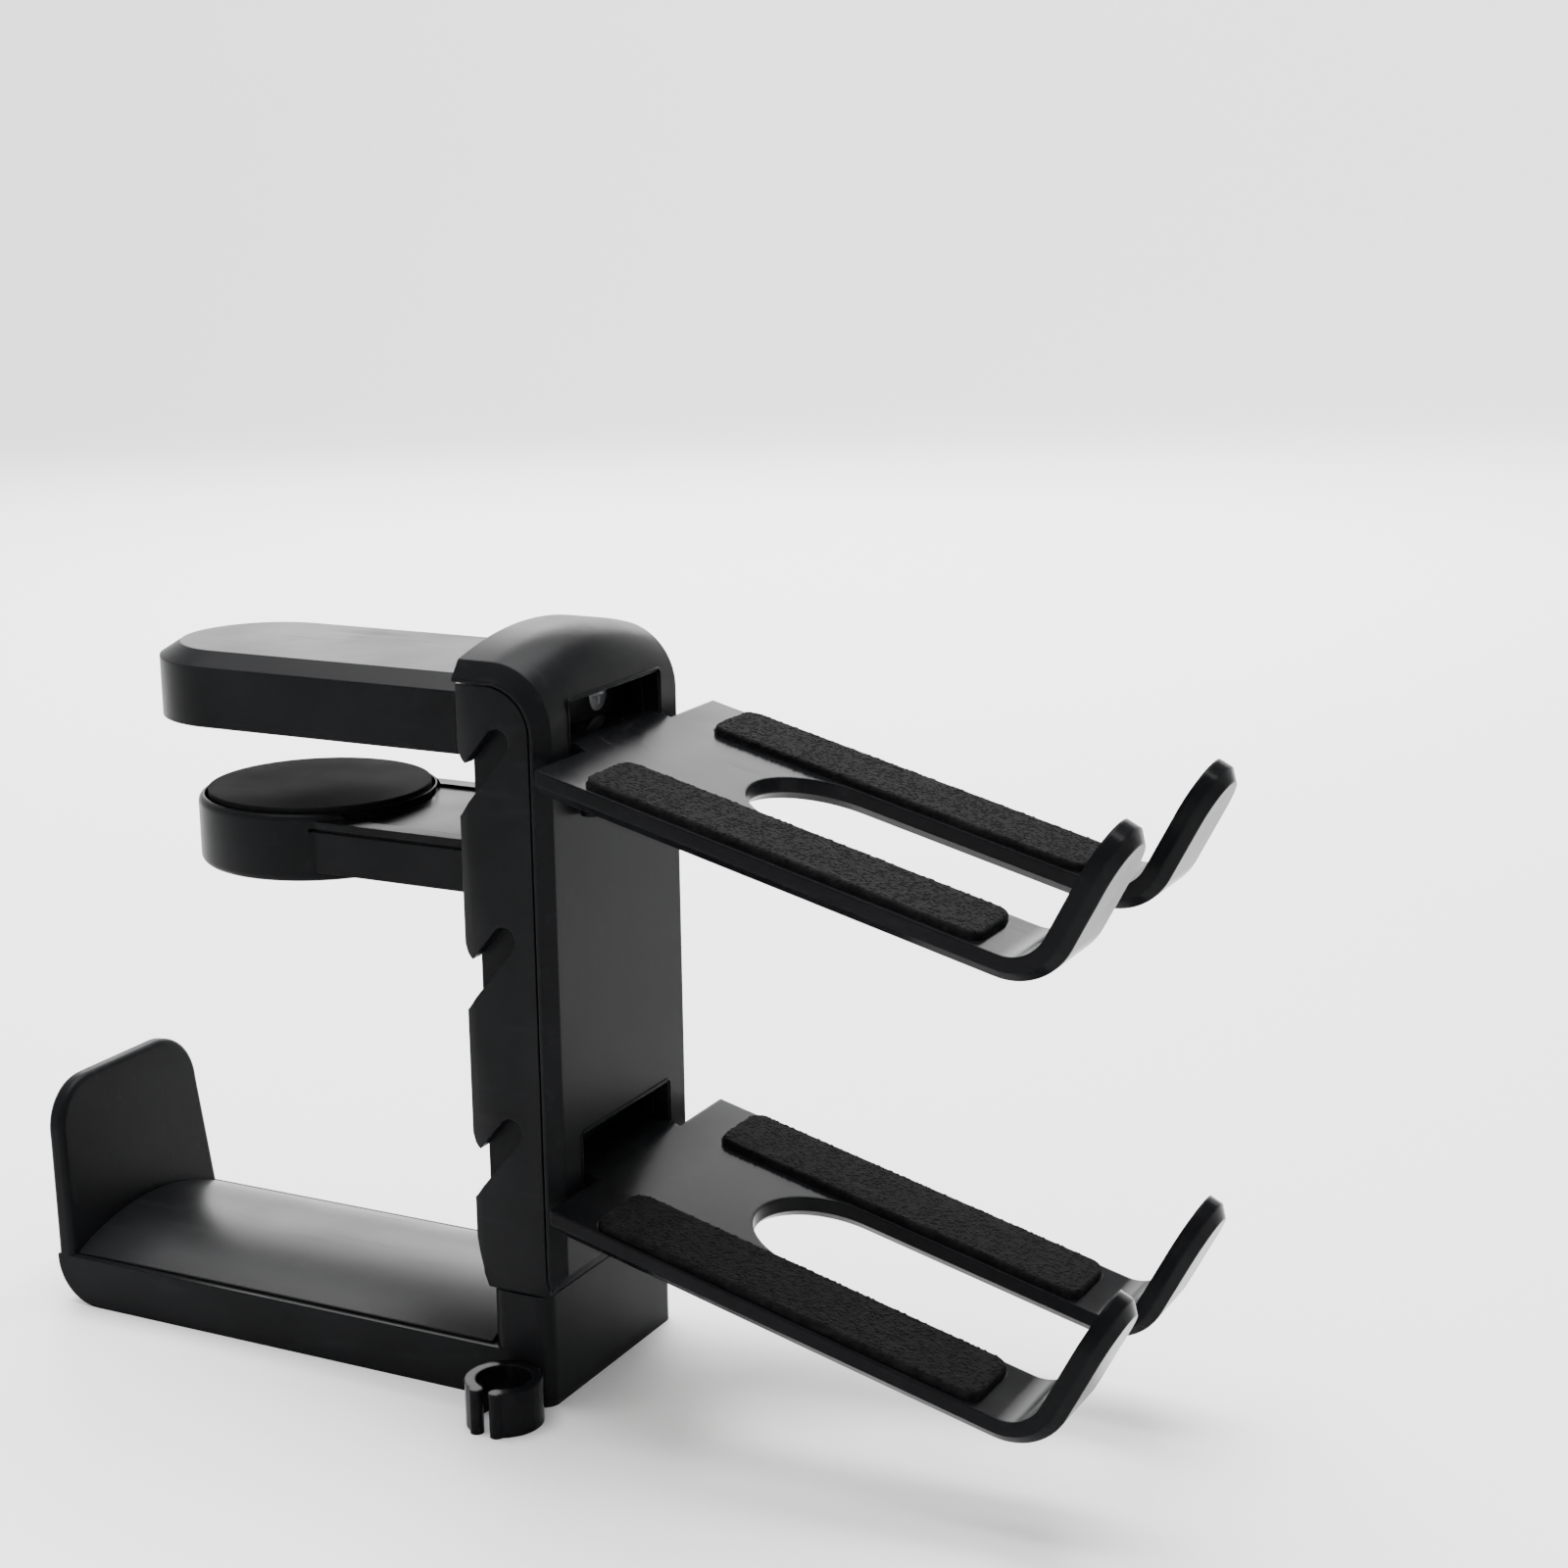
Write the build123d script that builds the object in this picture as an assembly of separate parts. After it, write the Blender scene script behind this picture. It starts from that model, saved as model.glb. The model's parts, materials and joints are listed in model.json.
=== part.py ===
from build123d import *
import math
import os

os.makedirs("parts", exist_ok=True)

# ---------------------------------------------------------------- clearances
RUN = 0.06        # radial clearance of a running shaft in its bore
SLIP = 0.25       # clearance a side between sliding mouldings
SEAM = 0.35       # joint line between two fixed mouldings
SEAT = 0.15       # clearance a side round a piece laid in its pocket
THREAD_GAP = 0.3  # radial clearance between a thread crest and its nut bore

# ---------------------------------------------------------------- base and hook
BASE_HALF = 5.3       # half the depth of the base block
BASE_H = 18.6
BASE_EDGE_R = 2.5
ARM_L = 88.2          # from the rear of the base block to the outer face of the tip
ARM_H = 8.6
TIP_T = 3.3
TIP_H = 29.4          # rise of the tip above the arm
TIP_LEAN = 5.0
TIP_HEEL_R = 8.0
TIP_SHOULDER_R = 10.0
TIP_DRAW = (1.55, 2.05)   # how far each side draws in at the shoulder and at the top
TIP_EDGE_R = 1.1      # rounding round the rim of the tip
ARM_FLOOR = 6.6       # floor of the pocket under the headband rest
ARM_RIM = 1.2         # rim beside the headband rest
REST_CROWN = 4.0
REST_EDGE = 9.0       # height of the long edges of the rest
RIB_T = 1.8
ARM_SHELL = 2.4
CELLS = 4
REST_BORDER = 0.6     # from the rest to the base block

# ---------------------------------------------------------------- spine
SPINE_W = 42.0        # across the two side walls
SPINE_H = 99.3        # from the foot to the top edge along each side
SPINE_GAP = 0.3       # between the base block and the foot of the spine
FLANGE_OVER = 1.7     # how far the side flanges stand behind the rail
CROWN = 3.4           # rise of the cap from its sides to the middle
TOP_RADIUS = 10.0     # bend from the front face into the cap
SIDE_BEVEL = 2.0      # bevel round the cover, seen from the side
COVER_T = 2.5         # wall of the front cover
CAP_SHELL = 2.9       # wall of the cap under its crown
HOUSING_T = 2.4       # side walls of the housing
WEB_T = 2.0           # front web of the housing
TAPER_FRONT = (3.3, 4.0)   # depth and height of the taper at the front foot
TAPER_SIDE = (1.25, 3.5)   # depth and height of the taper at each side foot
FLANGE_BEVEL = (2.2, 0.9)  # along X and along Y

# ---------------------------------------------------------------- rail and shoe
RAIL_WALL = 2.8
RAIL_WEB = 2.2
RAIL_LIP = 1.2
RAIL_LIP_IN = 3.1
SHOE_T = 2.4
SHOE_H = 24.0
SHOE_BAR = 11.0       # height of the middle bar of the shoe
FOOT_T = 4.0
WASHER_T = 0.5

# ---------------------------------------------------------------- windows and slots
WINDOW_EDGE = 2.15    # from the inside of the rail to the side of a window
WINDOW_H = 8.3
LOWER_SILL = 17.0     # height of the lower window above the foot
UPPER_SILL = 14.2     # depth of the upper window's sill below the top edge
SLOT_W = 4.2
SLOT_ANGLE = 50.0
SLOT_IN = 5.8         # middle of the closed round end, forward of the rail's rear
SLOT_DOWN = 11.2      # the same, below the top edge of the spine
SLOT_PITCH = 30.6
SLOT_COUNT = 3

# ---------------------------------------------------------------- swivel
SHOULDER_R = 3.0
HEAD_OVER = 1.7       # how far the head and the washers stand out past the shoulder
SHOULDER_HEAD_H = 3.0
SWIVEL_THREAD_R = 2.0
INSERT_R = 3.4
INSERT_H = 7.0

# ---------------------------------------------------------------- cable clip
CLIP_X = 0.7
CLIP_BORE = 4.4
CLIP_WALL = 1.7
CLIP_H = 7.3
CLIP_GAP = 40.0       # degrees of opening, facing away from the base
CLIP_NECK = (3.6, 1.6)    # width of the key and its depth in the base

# ---------------------------------------------------------------- fixed jaw
JAW_SIDE_GAP = 1.6    # from the jaw to the inside of each flange
JAW_L = 66.9
JAW_H = 11.8
JAW_DOWN = 2.8        # top of the jaw below the top edge of the spine
JAW_BEVEL = (2.1, 3.4)    # down the side and in from the side
JAW_ROOT_GAP = 0.3
JAW_PAD_T = 1.8
JAW_PAD_PROUD = 0.7
JAW_PAD_INSET = 2.6
JAW_PAD_ROOT = 6.0

# ---------------------------------------------------------------- sliding jaw
JAW_GAP = 10.5        # between the two pads as it stands
ARM_SIDE_GAP = 2.05   # from the sliding arm to the inside of each flange
HUB_REACH = 42.3      # from the rear of the rail to the middle of the hub
HUB_WALL = 1.0
HUB_WEB = 1.6         # floor between the pad and the wheel
HUB_DROP = 1.6        # underside of the hub below the arm
HUB_EDGE_R = 1.2
ARM_BELOW_PAD = 2.3   # top of the arm below the top of the pad
HUB_BELOW_PAD = 1.2
PANEL_SUNK = 0.5
PANEL_EDGE = 3.15

# ---------------------------------------------------------------- pressure pad
PAD_R = 18.1
PAD_GAP = 0.6         # between the pad and the rim of the hub
PAD_DOME = 0.5
PAD_SKIN = 2.2        # thickness of the soft disc over its plate
PAD_WRAP = 1.4        # thickness of the soft disc round its plate
PLATE_T = 2.0
PAD_LIFT = 5.0        # travel of the pad on its screw
SCREW_R = 4.0
SCREW_FLAT = 3.2      # half width across the two flats of the screw
WHEEL_R = 13.0
WHEEL_H = 4.6
WHEEL_LOBES = 14
WHEEL_PLAY = 0.1      # end play of the captive wheel
GRIP_R = 10.8
GRIP_H = 1.5
RING_OVER = 2.4       # how far the ring stands out past the wheel
RING_T = 1.2

# ---------------------------------------------------------------- trays
TRAY_W = 54.4
TRAY_L = 77.1         # from the root to the foot of the fingers, along X
TRAY_OFF = 2.2        # root of the tray in front of the spine
TRAY_RISE = 1.2       # top of the root above the sill
TRAY_DROOP = 14.5
TRAY_T = 3.8
FINGER_ANGLE = 62.4
FINGER_RISE = 19.7
BEND_R = 6.0
PRONG_GAP = 24.0
PRONG_START = 21.7    # end of the slot between the prongs, from the root
UNDER_BEVEL = 1.6
TONGUE_T = 2.0
TONGUE_ROOM = 0.7     # behind the tongue, in front of the rail
TONGUE_HANG = 6.0
LUG_R = 1.6
LUG_Y = 11.0
LUG_DOWN = 9.2        # lower end of the lugs below the sill
TRAY_PAD_START = 7.0
TRAY_PAD_END = 8.1    # short of the foot of the fingers
TRAY_PAD_INSET = 1.1  # from the outer edge of the tray
TRAY_PAD_MARGIN = 1.0     # from the slot
TRAY_PAD_T = 1.9
TRAY_PAD_SUNK = 0.7
TRAY_PAD_R = 2.5

# ---------------------------------------------------------------- screws
COVER_SCREW_Y = 10.0
COVER_SCREW_Z = (39.1, 73.1)   # above the foot of the spine
COVER_SCREW_R = 1.25
COVER_HEAD_R = 2.4
COVER_SCREW_BITE = 1.7    # how far the tips enter the cover
JAW_SCREW_Y = 8.0
JAW_SCREW_DOWN = 9.2      # below the top edge of the spine
JAW_SCREW_R = 1.5
JAW_HEAD_R = 2.6
JAW_SCREW_BITE = 8.2      # how far the tips enter the bar of the jaw
HEAD_SINK = 1.5       # depth of the counterbores in the rail
SCREW_SUNK = 0.1      # how far each head lies below the face

# ---------------------------------------------------------------- places that follow
HALF_W = SPINE_W / 2
HALF_HOOK = HALF_W - TAPER_SIDE[0]
SPINE_FOOT = BASE_H + SPINE_GAP
SPINE_SHOULDER = SPINE_FOOT + SPINE_H
RAIL_REAR = -BASE_HALF
SPINE_REAR = RAIL_REAR - FLANGE_OVER
RAIL_WEB_REAR = RAIL_REAR + RAIL_LIP + SHOE_T + 2 * SLIP
RAIL_WEB_FRONT = RAIL_WEB_REAR + RAIL_WEB
WEB_REAR = RAIL_WEB_FRONT + TONGUE_ROOM + TONGUE_T + SLIP
HOUSING_INSET = COVER_T + SEAM
SPINE_FRONT = WEB_REAR + WEB_T + HOUSING_INSET
RAIL_HALF = HALF_W - HOUSING_T - SLIP
RAIL_INNER = RAIL_HALF - RAIL_WALL
THROAT = RAIL_INNER - RAIL_LIP_IN
FOOT_UNDER = BASE_H + WASHER_T
FOOT_TOP = FOOT_UNDER + FOOT_T
RAIL_HEAD = SPINE_SHOULDER - HOUSING_INSET - HOUSING_T - 2 * SLIP
WINDOW_W = 2 * (RAIL_INNER - WINDOW_EDGE)
WINDOW_SILLS = (SPINE_FOOT + LOWER_SILL, SPINE_SHOULDER - UPPER_SILL)
TONGUE_W = WINDOW_W - 0.8
SLOT_END = (RAIL_REAR + SLOT_IN, SPINE_SHOULDER - SLOT_DOWN)
COVER_SCREWS = [(y, SPINE_FOOT + z) for y in (-COVER_SCREW_Y, COVER_SCREW_Y)
                for z in COVER_SCREW_Z]
JAW_SCREWS = [(y, SPINE_SHOULDER - JAW_SCREW_DOWN) for y in (-JAW_SCREW_Y, JAW_SCREW_Y)]
COVER_SCREW_TIP = SPINE_FRONT - COVER_T + COVER_SCREW_BITE
SHOULDER_HEAD_R = SHOULDER_R + HEAD_OVER

ARM_TIP_X = -BASE_HALF - ARM_L
TIP_TOP = ARM_H + TIP_H
CLIP_R = CLIP_BORE + CLIP_WALL
CLIP_Y = -HALF_HOOK - CLIP_R - 0.05

JAW_HALF = HALF_W - HOUSING_T - JAW_SIDE_GAP
JAW_ROOT_X = SPINE_REAR - JAW_ROOT_GAP
JAW_TIP_X = JAW_ROOT_X - JAW_L
JAW_TOP = SPINE_SHOULDER - JAW_DOWN
JAW_BOTTOM = JAW_TOP - JAW_H
JAW_SCREW_TIP = JAW_ROOT_X - JAW_SCREW_BITE

PAD_TOP = JAW_BOTTOM - JAW_PAD_PROUD - JAW_GAP
PLATE_R = PAD_R - PAD_WRAP
PLATE_UNDER = PAD_TOP - PAD_SKIN - PLATE_T
DISH_FLOOR = PLATE_UNDER - 0.4
WHEEL_TOP = DISH_FLOOR - HUB_WEB - WHEEL_PLAY
WHEEL_UNDER = WHEEL_TOP - WHEEL_H
RING_UNDER = WHEEL_UNDER - WHEEL_PLAY - RING_T
HUB_UNDER = RING_UNDER
RING_R = WHEEL_R + RING_OVER
SCREW_END = WHEEL_UNDER + 0.7 - PAD_LIFT
HUB_X = RAIL_REAR - HUB_REACH
HUB_R = PAD_R + PAD_GAP + HUB_WALL
HUB_TOP = PAD_TOP - HUB_BELOW_PAD
ARM2_HALF = HALF_W - HOUSING_T - ARM_SIDE_GAP
ARM2_TOP = PAD_TOP - ARM_BELOW_PAD
ARM2_BOTTOM = HUB_UNDER + HUB_DROP

DROOP_RUN = math.tan(math.radians(TRAY_DROOP))
TRAY_STEP = WINDOW_SILLS[1] - WINDOW_SILLS[0]
TRAY_ROOT = (SPINE_FRONT + TRAY_OFF, WINDOW_SILLS[1] + TRAY_RISE)
TRAY_CORNER = (TRAY_ROOT[0] + TRAY_L, TRAY_ROOT[1] - TRAY_L * DROOP_RUN)
FINGER_TOP = TRAY_CORNER[1] + FINGER_RISE
PRONG_ROOT_X = TRAY_ROOT[0] + PRONG_START
PRONG_W = (TRAY_W - PRONG_GAP) / 2
TRAY_PAD_W = PRONG_W - TRAY_PAD_INSET - TRAY_PAD_MARGIN


def block(x0, x1, y0, y1, z0, z1):
    """A box given by its six limits."""
    return Pos((x0 + x1) / 2, (y0 + y1) / 2, (z0 + z1) / 2) * Box(x1 - x0, y1 - y0, z1 - z0)


def disc(x, y, r, z0, z1):
    """An upright cylinder between two heights."""
    return Pos(x, y, (z0 + z1) / 2) * Cylinder(r, z1 - z0)


def prism_y(points, y0, y1):
    """A side outline in X and Z carried from y0 to y1."""
    face = make_face(Polyline([(x, 0, z) for x, z in points], close=True))
    return Pos(0, y0, 0) * extrude(face, y1 - y0, dir=(0, 1, 0))


def prism_x(points, x0, x1):
    """A front outline in Y and Z carried from x0 to x1."""
    face = make_face(Polyline([(0, y, z) for y, z in points], close=True))
    return Pos(x0, 0, 0) * extrude(face, x1 - x0, dir=(1, 0, 0))


# ---------------------------------------------------------------- spine pieces
def crown_at(y):
    """Height of the cap above its shoulders at a distance y from the middle."""
    return CROWN * (1 - (y / HALF_W) ** 2)


def spine_section(y, inset, crowned=True):
    """Side outline of the spine at one Y, drawn in by the given inset."""
    top = SPINE_SHOULDER - inset + (crown_at(y) if crowned else 0.0)
    front = SPINE_FRONT - inset
    radius = TOP_RADIUS - inset
    turn = radius * math.sqrt(0.5)
    middle = (front - radius + turn, y, top - radius + turn)
    outline = [
        Line((SPINE_REAR, y, SPINE_FOOT), (front, y, SPINE_FOOT)),
        Line((front, y, SPINE_FOOT), (front, y, top - radius)),
        ThreePointArc((front, y, top - radius), middle, (front - radius, y, top)),
        Line((front - radius, y, top), (SPINE_REAR, y, top)),
        Line((SPINE_REAR, y, top), (SPINE_REAR, y, SPINE_FOOT)),
    ]
    return make_face(outline)


def spine_outside():
    """The outer form of the spine: crowned cap, bevelled sides, open at nothing."""
    flat = HALF_W - SIDE_BEVEL
    stations = [flat * k / 3 for k in range(-3, 4)]
    middle = loft([spine_section(y, 0.0) for y in stations])
    near = loft([spine_section(-HALF_W, SIDE_BEVEL), spine_section(-flat, 0.0)], ruled=True)
    far = loft([spine_section(flat, 0.0), spine_section(HALF_W, SIDE_BEVEL)], ruled=True)
    return middle + near + far


def spine_core(inset):
    """Straight-sided form of the spine drawn in by the inset, full width."""
    return Pos(0, -HALF_W, 0) * extrude(Pos(0, 0, 0) * spine_section(0.0, inset, False),
                                        SPINE_W, dir=(0, 1, 0))


def foot_tapers():
    """What the tapered foot takes off the front and the two sides."""
    deep, high = TAPER_FRONT
    over = 1.0
    front = prism_y([(SPINE_FRONT + over, SPINE_FOOT - over),
                     (SPINE_FRONT + over, SPINE_FOOT + high),
                     (SPINE_FRONT, SPINE_FOOT + high),
                     (SPINE_FRONT - deep, SPINE_FOOT),
                     (SPINE_FRONT - deep, SPINE_FOOT - over)], -HALF_W - over, HALF_W + over)
    deep, high = TAPER_SIDE
    side = prism_x([(HALF_W + over, SPINE_FOOT - over),
                    (HALF_W + over, SPINE_FOOT + high),
                    (HALF_W, SPINE_FOOT + high),
                    (HALF_W - deep, SPINE_FOOT),
                    (HALF_W - deep, SPINE_FOOT - over)], SPINE_REAR - over, SPINE_FRONT + over)
    return front + side + mirror(side, Plane.XZ)


def window_cuts():
    """The two window openings, cut from the front back to the rail."""
    cuts = [block(RAIL_WEB_FRONT, SPINE_FRONT + 1, -WINDOW_W / 2, WINDOW_W / 2,
                  sill, sill + WINDOW_H) for sill in WINDOW_SILLS]
    return cuts[0] + cuts[1]


def slot_cuts():
    """Three slanted slots through both side walls, open at the rear flange."""
    reach = 14.0
    slope = math.radians(SLOT_ANGLE)
    lean = (math.cos(slope), math.sin(slope))
    across = (-lean[1] * SLOT_W / 2, lean[0] * SLOT_W / 2)
    cuts = []
    for k in range(SLOT_COUNT):
        cx, cz = SLOT_END[0], SLOT_END[1] - k * SLOT_PITCH
        tail = (cx - reach * lean[0], cz - reach * lean[1])
        run = [(cx + across[0], cz + across[1]), (cx - across[0], cz - across[1]),
               (tail[0] - across[0], tail[1] - across[1]),
               (tail[0] + across[0], tail[1] + across[1])]
        mouth_z = cz - (cx - RAIL_REAR) * math.tan(slope) + SLOT_W / 2 / lean[0]
        nose = [(RAIL_REAR, mouth_z), (RAIL_REAR - 0.5, mouth_z + 0.2),
                (RAIL_REAR - 1.1, mouth_z + 0.8), (RAIL_REAR - 1.5, mouth_z + 1.7),
                (SPINE_REAR - 0.4, mouth_z + 3.2), (SPINE_REAR - 0.4, mouth_z - 4.0),
                (RAIL_REAR, mouth_z - 2.0)]
        end = Pos(cx, 0, cz) * Rot(90, 0, 0) * Cylinder(SLOT_W / 2, SPINE_W + 2)
        cuts.append(prism_y(run, -HALF_W - 1, HALF_W + 1) + end
                    + prism_y(nose, -HALF_W - 1, HALF_W + 1))
    return cuts[0] + cuts[1] + cuts[2]


def spine_cover():
    """Front wall and cap in one bent band, with the two windows."""
    cover = spine_outside() - spine_core(COVER_T) - foot_tapers() - window_cuts()
    reach = HALF_W - 3 * SIDE_BEVEL
    lighten = loft([spine_section(reach * k, CAP_SHELL) for k in (-1, -1 / 3, 1 / 3, 1)])
    return cover - lighten - bars_along_x(COVER_SCREWS, COVER_SCREW_R, WEB_REAR, COVER_SCREW_TIP)


def spine_housing():
    """Side walls and front web under the cover, open at the rear."""
    core = spine_core(HOUSING_INSET)
    hollow = block(SPINE_REAR - 1, WEB_REAR, -HALF_W + HOUSING_T, HALF_W - HOUSING_T,
                   SPINE_FOOT - 1, RAIL_HEAD + SLIP)
    along, across = FLANGE_BEVEL
    bevel = extrude(make_face(Polyline([(SPINE_REAR - 1, HALF_W - across * 1.45, 0),
                                        (SPINE_REAR + along, HALF_W, 0),
                                        (SPINE_REAR + along, HALF_W + 1, 0),
                                        (SPINE_REAR - 1, HALF_W + 1, 0)], close=True)),
                    SPINE_SHOULDER, dir=(0, 0, 1))
    heel = prism_y([(SPINE_REAR - 0.5, SPINE_FOOT + 8.6), (SPINE_REAR, SPINE_FOOT + 8.2),
                    (RAIL_REAR - 1.1, SPINE_FOOT + 5.6), (RAIL_REAR - 0.3, SPINE_FOOT + 3.4),
                    (RAIL_REAR, SPINE_FOOT - 1), (SPINE_REAR - 0.5, SPINE_FOOT - 1)],
                   -HALF_W - 1, HALF_W + 1)
    part = core - hollow - bevel - mirror(bevel, Plane.XZ) - foot_tapers()
    swivel_room = disc(0, 0, SHOULDER_HEAD_R + 0.4, SPINE_FOOT - 1, FOOT_TOP + 8)
    screws = bars_along_x(COVER_SCREWS, COVER_SCREW_R, WEB_REAR - 1, SPINE_FRONT)
    return part - window_cuts() - slot_cuts() - heel - swivel_room - screws


def bars_along_x(places, radius, x0, x1):
    """Round bars along X at the given places in Y and Z."""
    bars = [Pos((x0 + x1) / 2, y, z) * Rot(0, 90, 0) * Cylinder(radius, x1 - x0)
            for y, z in places]
    group = bars[0]
    for bar in bars[1:]:
        group = group + bar
    return group


def cross_head(x_face, x_in, y, z, radius, width):
    """Screw head between its face and its seat, with a cross recess in the face."""
    head = Pos((x_face + x_in) / 2, y, z) * Rot(0, 90, 0) * Cylinder(radius, abs(x_in - x_face))
    return head - Pos(x_face, y, z) * Box(1.2, 0.6, width) - Pos(x_face, y, z) * Box(1.2, width, 0.6)


def cover_screws():
    """Self-tapping screws from the rail through the housing into the cover."""
    group = []
    for y, z in COVER_SCREWS:
        shank = Pos((RAIL_WEB_REAR + COVER_SCREW_TIP) / 2, y, z) * Rot(0, 90, 0) * Cylinder(
            COVER_SCREW_R, COVER_SCREW_TIP - RAIL_WEB_REAR - 2 * SCREW_SUNK)
        shank = Pos(SCREW_SUNK, 0, 0) * shank
        group.append(shank + cross_head(RAIL_WEB_REAR + SCREW_SUNK, RAIL_WEB_REAR + HEAD_SINK,
                                        y, z, COVER_HEAD_R, 2.8))
    return Compound(children=group)


def inner_rail():
    """Upright channel the lower jaw runs in, with the foot the swivel turns in."""
    walls = block(RAIL_REAR, WEB_REAR - SEAM, -RAIL_HALF, RAIL_HALF, FOOT_UNDER, RAIL_HEAD)
    front_room = block(RAIL_WEB_FRONT, WEB_REAR, -RAIL_INNER, RAIL_INNER,
                       FOOT_TOP, RAIL_HEAD + 1)
    channel = block(RAIL_REAR + RAIL_LIP, RAIL_WEB_REAR, -RAIL_INNER, RAIL_INNER,
                    FOOT_TOP, RAIL_HEAD + 1)
    throat = block(RAIL_REAR - 1, RAIL_WEB_REAR, -THROAT, THROAT, FOOT_TOP, RAIL_HEAD + 1)
    rail = walls - front_room - channel - throat
    bolt_room = block(-SHOULDER_HEAD_R - 1, SHOULDER_HEAD_R + 1, -7, 7, FOOT_TOP, FOOT_TOP + 9)
    rail = rail - bolt_room - disc(0, 0, SHOULDER_R + RUN, FOOT_UNDER - 1, FOOT_TOP + 1)
    web_front = RAIL_WEB_FRONT
    rail = rail + bars_along_x(COVER_SCREWS, COVER_HEAD_R + 0.8, web_front - 0.5, WEB_REAR)
    rail = rail - bars_along_x(COVER_SCREWS, COVER_SCREW_R, RAIL_WEB_REAR - 1, WEB_REAR + 1)
    rail = rail - bars_along_x(COVER_SCREWS, COVER_HEAD_R + SEAT, RAIL_WEB_REAR - 1,
                               RAIL_WEB_REAR + HEAD_SINK)
    rail = rail - bars_along_x(JAW_SCREWS, JAW_SCREW_R, RAIL_WEB_REAR - 1, web_front + 1)
    return rail - bars_along_x(JAW_SCREWS, JAW_HEAD_R + SEAT, web_front - HEAD_SINK, web_front + 1)


def jaw_screws():
    """Two screws through the rail into the boss of the fixed jaw."""
    face = RAIL_WEB_FRONT
    group = []
    for y, z in JAW_SCREWS:
        tip = JAW_SCREW_TIP + 0.5
        shank = Pos((face - HEAD_SINK + tip) / 2, y, z) * Rot(0, 90, 0) * Cylinder(
            JAW_SCREW_R, face - HEAD_SINK - tip)
        group.append(shank + cross_head(face - SCREW_SUNK, face - HEAD_SINK, y, z,
                                        JAW_HEAD_R, 3.2))
    return Compound(children=group)


# ---------------------------------------------------------------- fixed jaw
def stadium(tip_x, root_x, half, z0, z1):
    """A round-ended bar lying along X."""
    centre = tip_x + half
    return block(centre, root_x, -half, half, z0, z1) + disc(centre, 0, half, z0, z1)


def top_jaw():
    """Fixed upper jaw: bevelled bar with a round end and a root boss."""
    down, across = JAW_BEVEL
    body = stadium(JAW_TIP_X, JAW_ROOT_X, JAW_HALF, JAW_BOTTOM, JAW_TOP - down)
    centre = JAW_TIP_X + JAW_HALF
    top_half = JAW_HALF - across
    cap_bar = prism_x([(-JAW_HALF, JAW_TOP - down), (JAW_HALF, JAW_TOP - down),
                       (top_half, JAW_TOP), (-top_half, JAW_TOP)], centre, JAW_ROOT_X)
    cap_end = Pos(centre, 0, JAW_TOP - down / 2) * Cone(JAW_HALF, top_half, down)
    boss = block(JAW_ROOT_X - 1, RAIL_REAR, -JAW_HALF + SLIP, JAW_HALF - SLIP,
                 JAW_BOTTOM, RAIL_HEAD - SLIP)
    tenon = block(RAIL_REAR - 1, RAIL_WEB_REAR, -THROAT + SEAT, THROAT - SEAT,
                  JAW_BOTTOM, RAIL_HEAD - SLIP)
    pocket = stadium(JAW_TIP_X + JAW_PAD_INSET - SEAT, JAW_ROOT_X - JAW_PAD_ROOT + SEAT,
                     JAW_HALF - JAW_PAD_INSET + SEAT, JAW_BOTTOM - 1,
                     JAW_BOTTOM + JAW_PAD_T - JAW_PAD_PROUD)
    jaw = body + cap_bar + cap_end + boss + tenon - pocket
    return jaw - bars_along_x(JAW_SCREWS, JAW_SCREW_R, JAW_SCREW_TIP, RAIL_WEB_REAR + 1)


def top_jaw_pad():
    """Thin grip laid under the fixed jaw."""
    return stadium(JAW_TIP_X + JAW_PAD_INSET, JAW_ROOT_X - JAW_PAD_ROOT,
                   JAW_HALF - JAW_PAD_INSET, JAW_BOTTOM - JAW_PAD_PROUD,
                   JAW_BOTTOM + JAW_PAD_T - JAW_PAD_PROUD)


# ---------------------------------------------------------------- sliding jaw
def lower_jaw():
    """Sliding arm with the dished hub that carries the pressure pad."""
    root = RAIL_REAR - SLIP
    arm = block(HUB_X, root, -ARM2_HALF, ARM2_HALF, ARM2_BOTTOM, ARM2_TOP)
    hub = disc(HUB_X, 0, HUB_R, HUB_UNDER, HUB_TOP)
    hub = fillet(hub.edges().filter_by(GeomType.CIRCLE), HUB_EDGE_R)
    panel_half = ARM2_HALF - PANEL_EDGE
    panel = block(HUB_X, root - PANEL_EDGE, -panel_half, panel_half,
                  ARM2_TOP - PANEL_SUNK, ARM2_TOP + 1)
    groove = block(HUB_X + HUB_R / 2, root - 1, -ARM2_HALF - 1, -ARM2_HALF + PANEL_SUNK,
                   ARM2_TOP - 1.7, ARM2_TOP - 1.1)
    neck = block(root - 2, RAIL_REAR + RAIL_LIP + SLIP, -THROAT + SLIP, THROAT - SLIP,
                 ARM2_BOTTOM, ARM2_TOP)
    dish = disc(HUB_X, 0, PAD_R + PAD_GAP, DISH_FLOOR, HUB_TOP + 2)
    wheel_room = disc(HUB_X, 0, WHEEL_R + SLIP, HUB_UNDER - 1, DISH_FLOOR - HUB_WEB)
    ring_room = disc(HUB_X, 0, RING_R, HUB_UNDER - 1, RING_UNDER + RING_T)
    keyway = flatted(SCREW_R + RUN, SCREW_FLAT + RUN, HUB_UNDER, HUB_TOP)
    jaw = arm + hub - panel - groove - mirror(groove, Plane.XZ) + neck
    return jaw - dish - wheel_room - ring_room - keyway


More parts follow.
